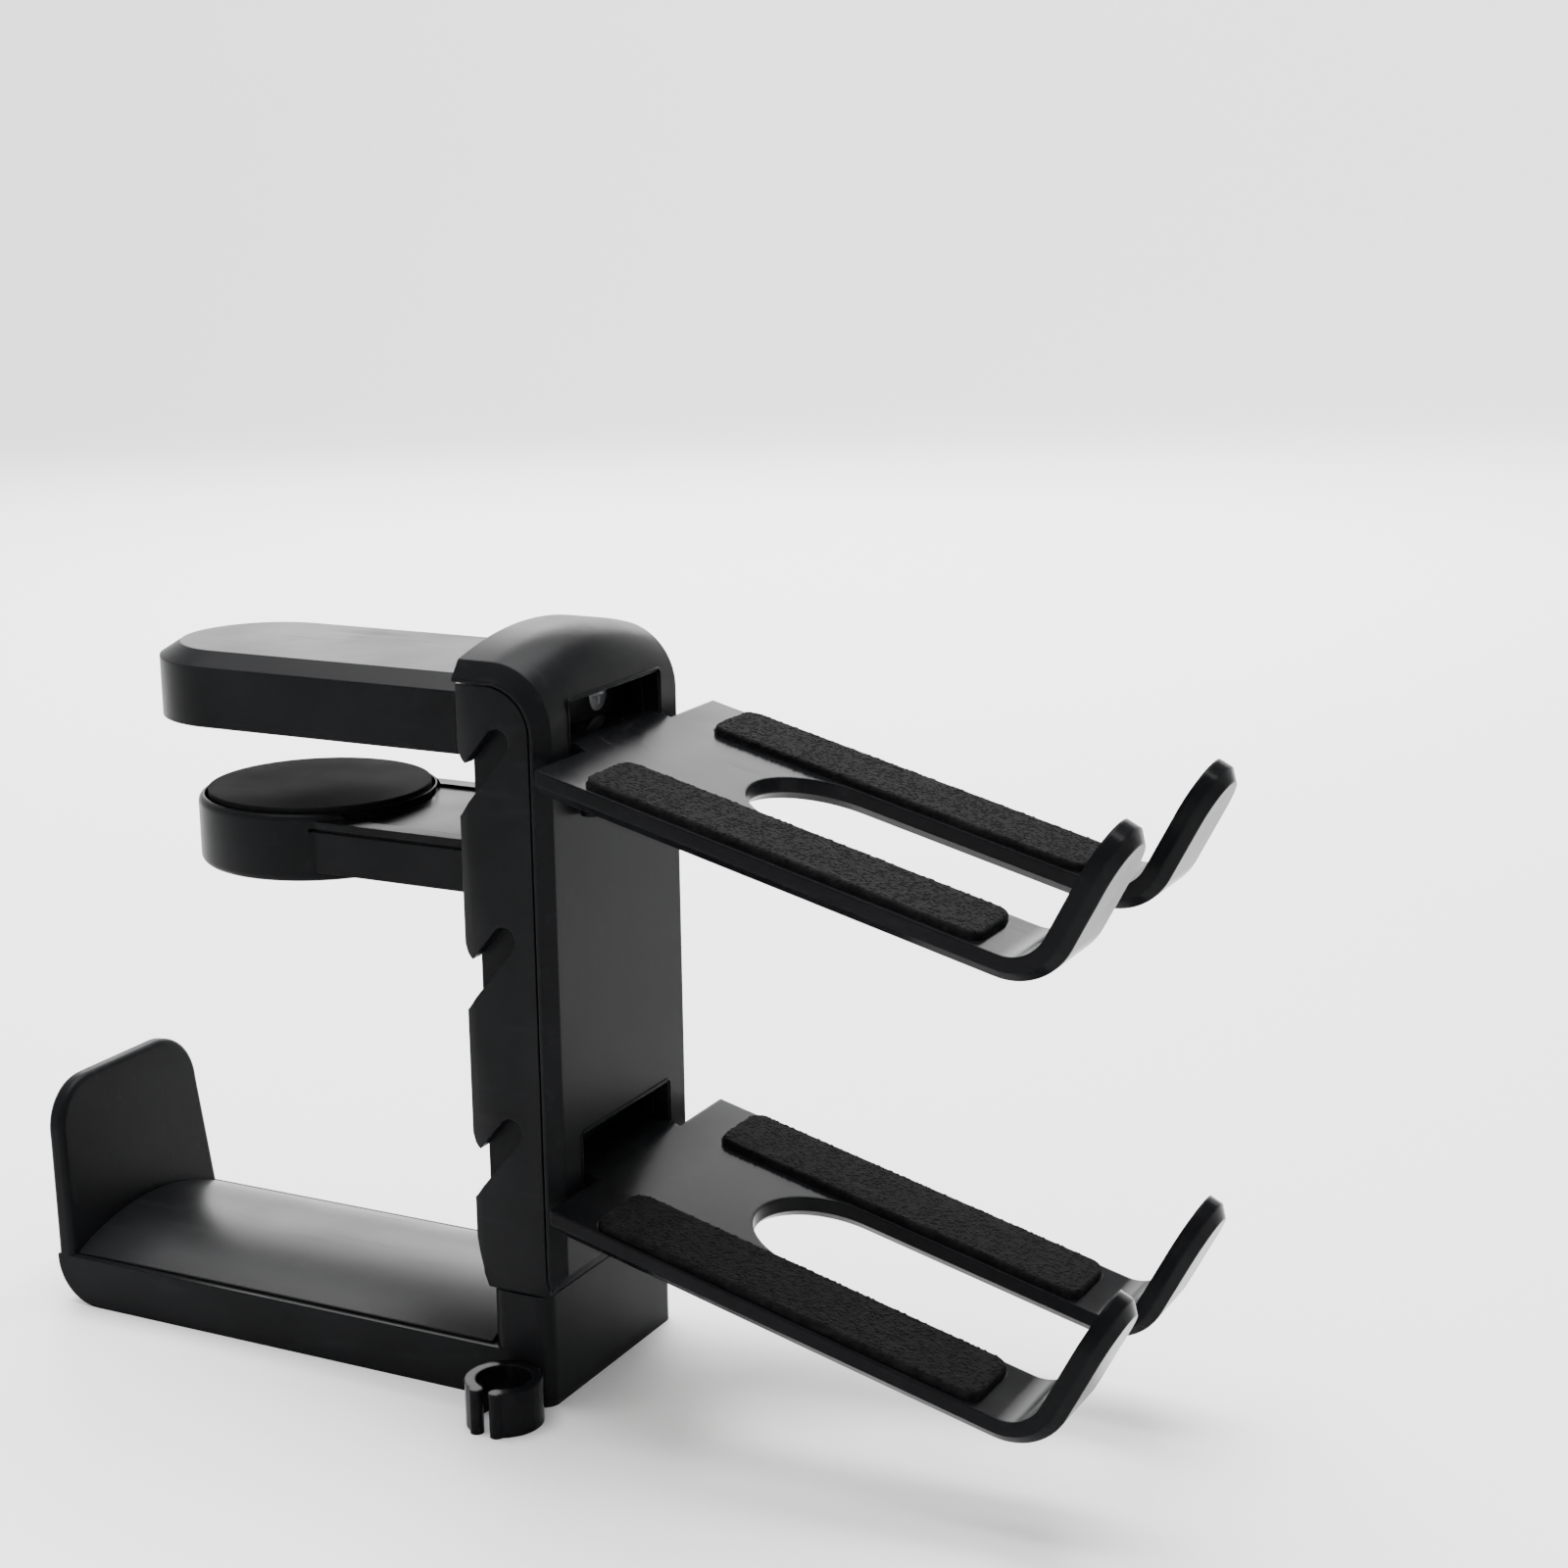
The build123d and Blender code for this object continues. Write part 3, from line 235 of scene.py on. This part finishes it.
    def _relief(self, tree: bpy.types.NodeTree, shader: bpy.types.Node,
                where: bpy.types.NodeSocket) -> None:
        """Add the fine relief over softly rounded edges.

        Args:
            tree: The material's tree.
            shader: The Principled node.
            where: Coordinates to read.
        """
        if self.grain is Grain.SPARK:
            height = self._noise(tree, where, 1 / self.grain_size, WEAR.spark_detail)
        elif self.grain is Grain.PEBBLE:
            cells = tree.nodes.new("ShaderNodeTexVoronoi")
            cells.inputs["Scale"].default_value = 1 / self.grain_size
            tree.links.new(where, cells.inputs["Vector"])
            height = cells.outputs["Distance"]
        else:
            rings = tree.nodes.new("ShaderNodeTexWave")
            rings.wave_type = "RINGS"
            rings.rings_direction = "Z"
            rings.inputs["Scale"].default_value = 1 / self.grain_size
            tree.links.new(where, rings.inputs["Vector"])
            height = rings.outputs[1]
        edge = tree.nodes.new("ShaderNodeBevel")
        edge.samples = WEAR.edge_samples
        edge.inputs["Radius"].default_value = self.edge
        bump = tree.nodes.new("ShaderNodeBump")
        bump.inputs["Strength"].default_value = WEAR.relief
        bump.inputs["Distance"].default_value = self.grain_depth
        tree.links.new(height, bump.inputs["Height"])
        tree.links.new(edge.outputs[0], bump.inputs["Normal"])
        tree.links.new(bump.outputs[0], shader.inputs["Normal"])


FINISHES = (
    Finish(Slot.BLACK, (0.0035, 0.0037, 0.0042), (0.0075, 0.0078, 0.0088), (0.30, 0.40),
           Grain.SPARK, 0.35 * MM, 0.014 * MM, specular=0.042),
    Finish(Slot.GLOSS, (0.0030, 0.0032, 0.0037), (0.0060, 0.0062, 0.0070), (0.15, 0.24),
           Grain.SPARK, 0.9 * MM, 0.006 * MM, specular=0.035, coat=0.01, edge=0.6 * MM),
    Finish(Slot.REST, (0.0040, 0.0042, 0.0047), (0.0080, 0.0083, 0.0092), (0.28, 0.36),
           Grain.SPARK, 0.28 * MM, 0.024 * MM, specular=0.15),
    Finish(Slot.RUBBER, (0.0050, 0.0052, 0.0056), (0.0095, 0.0097, 0.0104), (0.50, 0.64),
           Grain.SPARK, 0.22 * MM, 0.02 * MM, specular=0.005, edge=0.5 * MM),
    Finish(Slot.FOAM, (0.0028, 0.0028, 0.0030), (0.0105, 0.0105, 0.0112), (0.88, 0.98),
           Grain.PEBBLE, 0.55 * MM, 0.18 * MM, patch_size=0.002, specular=0.09),
    Finish(Slot.NYLON, (0.006, 0.006, 0.0065), (0.012, 0.012, 0.0125), (0.40, 0.52),
           Grain.SPARK, 0.4 * MM, 0.012 * MM, specular=0.10),
    Finish(Slot.STEEL, (0.50, 0.51, 0.53), (0.62, 0.62, 0.63), (0.24, 0.38),
           Grain.TURNED, 0.5 * MM, 0.006 * MM, metallic=1.0, edge=0.15 * MM),
    Finish(Slot.BRASS, (0.66, 0.48, 0.21), (0.78, 0.60, 0.30), (0.25, 0.38),
           Grain.TURNED, 0.5 * MM, 0.008 * MM, metallic=1.0, edge=0.15 * MM),
)


class Paintbox:
    """Holds the materials and puts them on pieces."""

    def __init__(self) -> None:
        """Build every finish."""
        self.materials = {f.slot: f.build() for f in FINISHES}

    def dress(self, node: str) -> bpy.types.Object:
        """Give a CAD node the finish of its slot in the record.

        Args:
            node: Name of the CAD node.

        Returns:
            The node's object.
        """
        row = next(r for r in frame["record"]["subparts"] if r["node"] == node)
        piece = frame["nodes"][node]
        self.paint(piece, Slot(row["material_slot"]))
        return piece

    def paint(self, piece: bpy.types.Object, slot: Slot) -> None:
        """Put one finish all over a piece.

        Args:
            piece: The object to paint.
            slot: The slot whose finish it takes.
        """
        piece.data.materials.clear()
        piece.data.materials.append(self.materials[slot])


class Tree:
    """A geometry nodes tree under construction."""

    def __init__(self, name: str) -> None:
        """Start an empty tree with a geometry input and output.

        Args:
            name: Name of the tree.
        """
        self.group = bpy.data.node_groups.new(name, "GeometryNodeTree")
        for way in ("INPUT", "OUTPUT"):
            self.group.interface.new_socket(
                "Geometry", in_out=way, socket_type="NodeSocketGeometry")

    def declare(self, name: str, kind: str) -> str:
        """Add a named input.

        Args:
            name: The input's name.
            kind: Its socket type.

        Returns:
            The identifier a modifier sets it by.
        """
        socket = self.group.interface.new_socket(name, in_out="INPUT", socket_type=kind)
        return socket.identifier

    def add(self, kind: str, **values: object) -> bpy.types.Node:
        """Add a node and set its properties.

        Args:
            kind: The node's type.
            values: Properties of the node.

        Returns:
            The node.
        """
        node = self.group.nodes.new(kind)
        for key, value in values.items():
            setattr(node, key, value)
        return node

    def join(self, source: bpy.types.NodeSocket, target: bpy.types.NodeSocket) -> None:
        """Link two sockets."""
        self.group.links.new(source, target)


def bake(name: str, mesh: bpy.types.Mesh, tree: Tree,
         values: dict[str, object]) -> bpy.types.Object:
    """Run a tree on a mesh and keep the result as a plain mesh.

    Args:
        name: Name of the new piece.
        mesh: The mesh the tree starts from.
        tree: The tree to run.
        values: Input values by socket identifier.

    Returns:
        The new object, with no modifier.
    """
    piece = bpy.data.objects.new(name, mesh)
    bpy.context.scene.collection.objects.link(piece)
    modifier = piece.modifiers.new("shape", "NODES")
    modifier.node_group = tree.group
    for identifier, value in values.items():
        modifier[identifier] = value
    bpy.context.view_layer.update()
    graph = bpy.context.evaluated_depsgraph_get()
    made = bpy.data.meshes.new_from_object(piece.evaluated_get(graph), depsgraph=graph)
    piece.modifiers.remove(modifier)
    piece.data = made
    return piece


@dataclass
class GripPads:
    """The four pebbled grip pads on the prongs of the trays."""

    nodes: dict[str, str] = field(default_factory=lambda: {
        "upper_pad_near": "tray_top", "upper_pad_far": "tray_top",
        "lower_pad_near": "tray_bottom", "lower_pad_far": "tray_bottom"})
    density: float = 2.0e6
    grain_r: float = 0.26 * MM
    grain_spread: tuple[float, float] = (0.65, 1.25)
    squash: float = 0.45
    facing_up: float = 0.5
    seed: int = 7
    ids: dict[str, str] = field(default_factory=dict)

    def tree(self) -> Tree:
        """Make the tree that scatters grains over the upper faces.

        Returns:
            The tree; its input identifiers are kept in ids.
        """
        t = Tree("pebbled_pad")
        for name, kind in (("Grain Density", "NodeSocketFloat"),
                           ("Grain Radius", "NodeSocketFloat"),
                           ("Grain Height", "NodeSocketFloat"), ("Seed", "NodeSocketInt"),
                           ("Finish", "NodeSocketMaterial")):
            self.ids[name] = t.declare(name, kind)
        start = t.add("NodeGroupInput")
        end = t.add("NodeGroupOutput")
        weld = t.add("GeometryNodeMergeByDistance")
        weld.inputs["Distance"].default_value = WELD_GAP
        normal = t.add("GeometryNodeInputNormal")
        split = t.add("ShaderNodeSeparateXYZ")
        up = t.add("FunctionNodeCompare", data_type="FLOAT", operation="GREATER_THAN")
        up.inputs[1].default_value = self.facing_up
        scatter = t.add("GeometryNodeDistributePointsOnFaces", distribute_method="RANDOM")
        grain = t.add("GeometryNodeMeshIcoSphere")
        grain.inputs["Subdivisions"].default_value = 1
        size = t.add("FunctionNodeRandomValue", data_type="FLOAT")
        size.inputs[2].default_value, size.inputs[3].default_value = self.grain_spread
        flat = t.add("ShaderNodeCombineXYZ")
        flat.inputs[0].default_value = 1.0
        flat.inputs[1].default_value = 1.0
        scale = t.add("ShaderNodeVectorMath", operation="SCALE")
        place = t.add("GeometryNodeInstanceOnPoints")
        real = t.add("GeometryNodeRealizeInstances")
        both = t.add("GeometryNodeJoinGeometry")
        paint = t.add("GeometryNodeSetMaterial")
        t.join(start.outputs["Geometry"], weld.inputs["Geometry"])
        t.join(normal.outputs[0], split.inputs[0])
        t.join(split.outputs[2], up.inputs[0])
        t.join(weld.outputs[0], scatter.inputs["Mesh"])
        t.join(up.outputs[0], scatter.inputs["Selection"])
        t.join(start.outputs["Grain Density"], scatter.inputs["Density"])
        t.join(start.outputs["Seed"], scatter.inputs["Seed"])
        t.join(start.outputs["Grain Radius"], grain.inputs["Radius"])
        t.join(start.outputs["Seed"], size.inputs["Seed"])
        t.join(start.outputs["Grain Height"], flat.inputs[2])
        t.join(flat.outputs[0], scale.inputs[0])
        t.join(size.outputs[1], scale.inputs["Scale"])
        t.join(scatter.outputs["Points"], place.inputs["Points"])
        t.join(scatter.outputs["Rotation"], place.inputs["Rotation"])
        t.join(grain.outputs["Mesh"], place.inputs["Instance"])
        t.join(scale.outputs[0], place.inputs["Scale"])
        t.join(weld.outputs[0], both.inputs[0])
        t.join(place.outputs[0], both.inputs[0])
        t.join(both.outputs[0], real.inputs[0])
        t.join(real.outputs[0], paint.inputs["Geometry"])
        t.join(start.outputs["Finish"], paint.inputs["Material"])
        t.join(paint.outputs[0], end.inputs[0])
        return t

    def build(self, paints: Paintbox) -> None:
        """Make the four pads.

        Args:
            paints: The finishes.
        """
        tree = self.tree()
        for count, (node, body) in enumerate(self.nodes.items()):
            values = {self.ids["Grain Density"]: self.density,
                      self.ids["Grain Radius"]: self.grain_r,
                      self.ids["Grain Height"]: self.squash,
                      self.ids["Seed"]: self.seed + count,
                      self.ids["Finish"]: paints.materials[Slot.FOAM]}
            pad = bake("pebbled_" + node, frame["nodes"][node].data.copy(), tree, values)
            paints.paint(pad, Slot.FOAM)
            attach(pad, body)
            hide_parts(node)
            log.info("%s: %d faces", pad.name, len(pad.data.polygons))


@dataclass
class WindowTrims:
    """The fine raised line over the head and down both sides of each window.

    It stops at the sill, because the tray's tongue runs down the cover there.
    """

    sills: tuple[float, float] = (104.0 * MM, 35.9 * MM)
    width: float = 26.8 * MM
    height: float = 8.3 * MM
    face: float = 8.8 * MM
    corner: float = 1.0 * MM
    corner_steps: int = 6
    out: float = 0.55 * MM
    bead: float = 0.22 * MM
    bead_sides: int = 10
    ids: dict[str, str] = field(default_factory=dict)

    def tree(self) -> Tree:
        """Make the tree that runs a bead along three sides of a rectangle.

        Returns:
            The tree; its input identifiers are kept in ids.
        """
        t = Tree("window_trim")
        for name, kind in (("Width", "NodeSocketFloat"), ("Height", "NodeSocketFloat"),
                           ("Corner", "NodeSocketFloat"), ("Bead", "NodeSocketFloat"),
                           ("Centre", "NodeSocketVector"), ("Finish", "NodeSocketMaterial")):
            self.ids[name] = t.declare(name, kind)
        start = t.add("NodeGroupInput")
        end = t.add("NodeGroupOutput")
        frame_line = t.add("GeometryNodeCurvePrimitiveQuadrilateral")
        turn = t.add("GeometryNodeTransform")
        turn.inputs["Rotation"].default_value = (0.0, math.pi / 2, 0.0)
        open_sill = t.add("GeometryNodeSetSplineCyclic")
        open_sill.inputs["Cyclic"].default_value = False
        rounded = t.add("GeometryNodeFilletCurve")
        rounded.mode = "POLY"
        rounded.inputs["Count"].default_value = self.corner_steps
        section = t.add("GeometryNodeCurvePrimitiveCircle")
        section.inputs["Resolution"].default_value = self.bead_sides
        tube = t.add("GeometryNodeCurveToMesh")
        tube.inputs["Fill Caps"].default_value = True
        real = t.add("GeometryNodeRealizeInstances")
        paint = t.add("GeometryNodeSetMaterial")
        t.join(start.outputs["Height"], frame_line.inputs["Width"])
        t.join(start.outputs["Width"], frame_line.inputs["Height"])
        t.join(frame_line.outputs[0], open_sill.inputs[0])
        t.join(open_sill.outputs[0], rounded.inputs["Curve"])
        t.join(start.outputs["Corner"], rounded.inputs["Radius"])
        t.join(rounded.outputs[0], turn.inputs["Geometry"])
        t.join(start.outputs["Centre"], turn.inputs["Translation"])
        t.join(start.outputs["Bead"], section.inputs["Radius"])
        t.join(turn.outputs[0], tube.inputs["Curve"])
        t.join(section.outputs[0], tube.inputs["Profile Curve"])
        t.join(tube.outputs[0], real.inputs[0])
        t.join(real.outputs[0], paint.inputs["Geometry"])
        t.join(start.outputs["Finish"], paint.inputs["Material"])
        t.join(paint.outputs[0], end.inputs[0])
        return t

    def build(self, paints: Paintbox) -> None:
        """Make both trims on the front of the cover.

        Args:
            paints: The finishes.
        """
        tree = self.tree()
        for name, sill in zip(("upper_window_trim", "lower_window_trim"), self.sills):
            centre = (self.face, 0.0, sill + self.height / 2)
            values = {self.ids["Width"]: self.width + 2 * self.out,
                      self.ids["Height"]: self.height + 2 * self.out,
                      self.ids["Corner"]: self.corner, self.ids["Bead"]: self.bead,
                      self.ids["Centre"]: centre,
                      self.ids["Finish"]: paints.materials[Slot.GLOSS]}
            trim = bake(name, bpy.data.meshes.new(name), tree, values)
            trim.data.shade_smooth()
            paints.paint(trim, Slot.GLOSS)
            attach(trim, "frame")
            log.info("%s: %d faces", trim.name, len(trim.data.polygons))


@dataclass
class SubAssembly:
    """CAD nodes that belong together and keep their own shape."""

    title: str
    nodes: tuple[str, ...]
    split_angle: float = 30.0

    def build(self, paints: Paintbox) -> None:
        """Dress each node and smooth its curved faces.

        Args:
            paints: The finishes.
        """
        for node in self.nodes:
            piece = paints.dress(node)
            self.smooth(piece)
            log.info("%s: %s", self.title, node)

    def smooth(self, piece: bpy.types.Object) -> None:
        """Shade curved faces smoothly and keep corners crisp.

        Args:
            piece: The object to shade.
        """
        piece.data.shade_smooth()
        weld = piece.modifiers.new("weld", "WELD")
        weld.merge_threshold = WELD_GAP
        split = piece.modifiers.new("split", "EDGE_SPLIT")
        split.split_angle = math.radians(self.split_angle)


class Spine(SubAssembly):
    """Cover, housing and rail of the upright."""

    def __init__(self) -> None:
        """Name the nodes of the spine."""
        super().__init__("spine", ("spine_cover", "spine_housing", "inner_rail"))


class Fasteners(SubAssembly):
    """Screws and the pieces of the swivel."""

    def __init__(self) -> None:
        """Name the screws, washers and insert."""
        super().__init__("fasteners", ("cover_screws", "jaw_screws", "swivel_washers",
                                       "swivel_screw", "swivel_insert"))


class Clamp(SubAssembly):
    """Fixed jaw, sliding jaw and the drive of the round pad."""

    def __init__(self) -> None:
        """Name the nodes of the clamp."""
        super().__init__("clamp", ("top_jaw", "top_jaw_pad", "lower_jaw", "jaw_slider",
                                   "wheel_ring", "thumb_wheel", "clamp_screw", "pad_plate",
                                   "clamp_pad"))


class Hook(SubAssembly):
    """Arm with its upturned tip, the rest and the cable clip."""

    def __init__(self) -> None:
        """Name the nodes of the hook."""
        super().__init__("hook", ("headphone_hook", "headband_rest", "cable_clip"))


class Trays(SubAssembly):
    """The two forked trays."""

    def __init__(self) -> None:
        """Name the two trays."""
        super().__init__("trays", ("upper_tray", "lower_tray"))


@dataclass
class Softbox:
    """One rectangular studio light aimed at a point."""

    name: str
    at: Point
    size: tuple[float, float]
    watts: float
    aim: Point = (0.0, 0.0, 0.05)

    def build(self) -> None:
        """Make the light."""
        data = bpy.data.lights.new(self.name, "AREA")
        data.shape = "RECTANGLE"
        data.size, data.size_y = self.size
        data.energy = self.watts
        lamp = bpy.data.objects.new(self.name, data)
        bpy.context.scene.collection.objects.link(lamp)
        lamp.location = self.at
        ray = Vector(self.aim) - Vector(self.at)
        lamp.rotation_euler = ray.to_track_quat("-Z", "Y").to_euler()


@dataclass
class Studio:
    """Pale floor that curves up all round, soft lights and the camera."""

    floor_r: float = 1.5
    cove_r: float = 0.6
    cove_steps: int = 12
    wall_h: float = 1.1
    steps: int = 96
    floor_colour: Colour = (0.93, 0.93, 0.925)
    floor_rough: float = 0.6
    world: float = 0.82
    lens: float = 64.43
    sensor: float = 36.0
    near: float = 0.01
    far: float = 30.0
    camera_at: Point = (0.22374, -0.36349, 0.19720)
    right: Point = (0.89147, 0.45288, -0.01307)
    up: Point = (-0.09379, 0.21269, 0.97261)
    back: Point = (0.44326, -0.86583, 0.23209)
    lights: tuple[Softbox, ...] = (
        Softbox("top_soft", (-0.15, 0.25, 1.15), (1.1, 0.9), 42.0),
        Softbox("rear_soft", (-0.55, 0.95, 0.55), (0.9, 0.5), 9.0),
        Softbox("side_soft", (0.95, 0.25, 0.55), (0.5, 0.6), 1.2),
        Softbox("backdrop_wash", (0.0, 0.75, 1.05), (0.8, 0.3), 26.0, aim=(-0.8, 2.1, 0.45)),
    )

    def floor(self) -> None:
        """Make the floor as a turned profile."""
        profile = [(0.0, 0.0), (self.floor_r, 0.0)]
        for k in range(1, self.cove_steps + 1):
            a = k / self.cove_steps * math.pi / 2
            profile.append((self.floor_r + self.cove_r * math.sin(a),
                            self.cove_r * (1 - math.cos(a))))
        profile.append((self.floor_r + self.cove_r, self.wall_h))
        points = [(0.0, 0.0, 0.0)]
        for r, z in profile[1:]:
            for k in range(self.steps):
                a = 2 * math.pi * k / self.steps
                points.append((r * math.cos(a), r * math.sin(a), z))
        faces = [(0, 1 + k, 1 + (k + 1) % self.steps) for k in range(self.steps)]
        for ring in range(len(profile) - 2):
            a, b = 1 + ring * self.steps, 1 + (ring + 1) * self.steps
            for k in range(self.steps):
                n = (k + 1) % self.steps
                faces.append((a + k, b + k, b + n, a + n))
        mesh = bpy.data.meshes.new("floor")
        mesh.from_pydata(points, [], faces)
        mesh.shade_smooth()
        mat = bpy.data.materials.new("pale_floor")
        mat.use_nodes = True
        shader = mat.node_tree.nodes["Principled BSDF"]
        shader.inputs["Base Color"].default_value = (*self.floor_colour, 1)
        shader.inputs["Roughness"].default_value = self.floor_rough
        mesh.materials.append(mat)
        ground = bpy.data.objects.new("floor", mesh)
        bpy.context.scene.collection.objects.link(ground)

    def camera(self) -> None:
        """Make the camera at the viewing angle."""
        data = bpy.data.cameras.new("camera")
        data.lens = self.lens
        data.sensor_width = self.sensor
        data.clip_start = self.near
        data.clip_end = self.far
        cam = bpy.data.objects.new("camera", data)
        bpy.context.scene.collection.objects.link(cam)
        turn = Matrix((self.right, self.up, self.back)).transposed().to_4x4()
        cam.matrix_world = Matrix.Translation(self.camera_at) @ turn
        bpy.context.scene.camera = cam

    def build(self) -> None:
        """Make the whole studio."""
        world = bpy.data.worlds.new("studio")
        world.use_nodes = True
        sky = world.node_tree.nodes["Background"]
        sky.inputs["Color"].default_value = (1, 1, 1, 1)
        sky.inputs["Strength"].default_value = self.world
        bpy.context.scene.world = world
        self.floor()
        for light in self.lights:
            light.build()
        self.camera()
        log.info("studio: %d lights", len(self.lights))


def main() -> None:
    """Build the studio and every sub-assembly in order."""
    logging.basicConfig(level=logging.INFO, format="%(name)s: %(message)s")
    Studio().build()
    paints = Paintbox()
    for part in (Spine(), Fasteners(), Clamp(), Hook(), Trays()):
        part.build(paints)
    WindowTrims().build(paints)
    GripPads().build(paints)


if __name__ == "__main__":
    main()
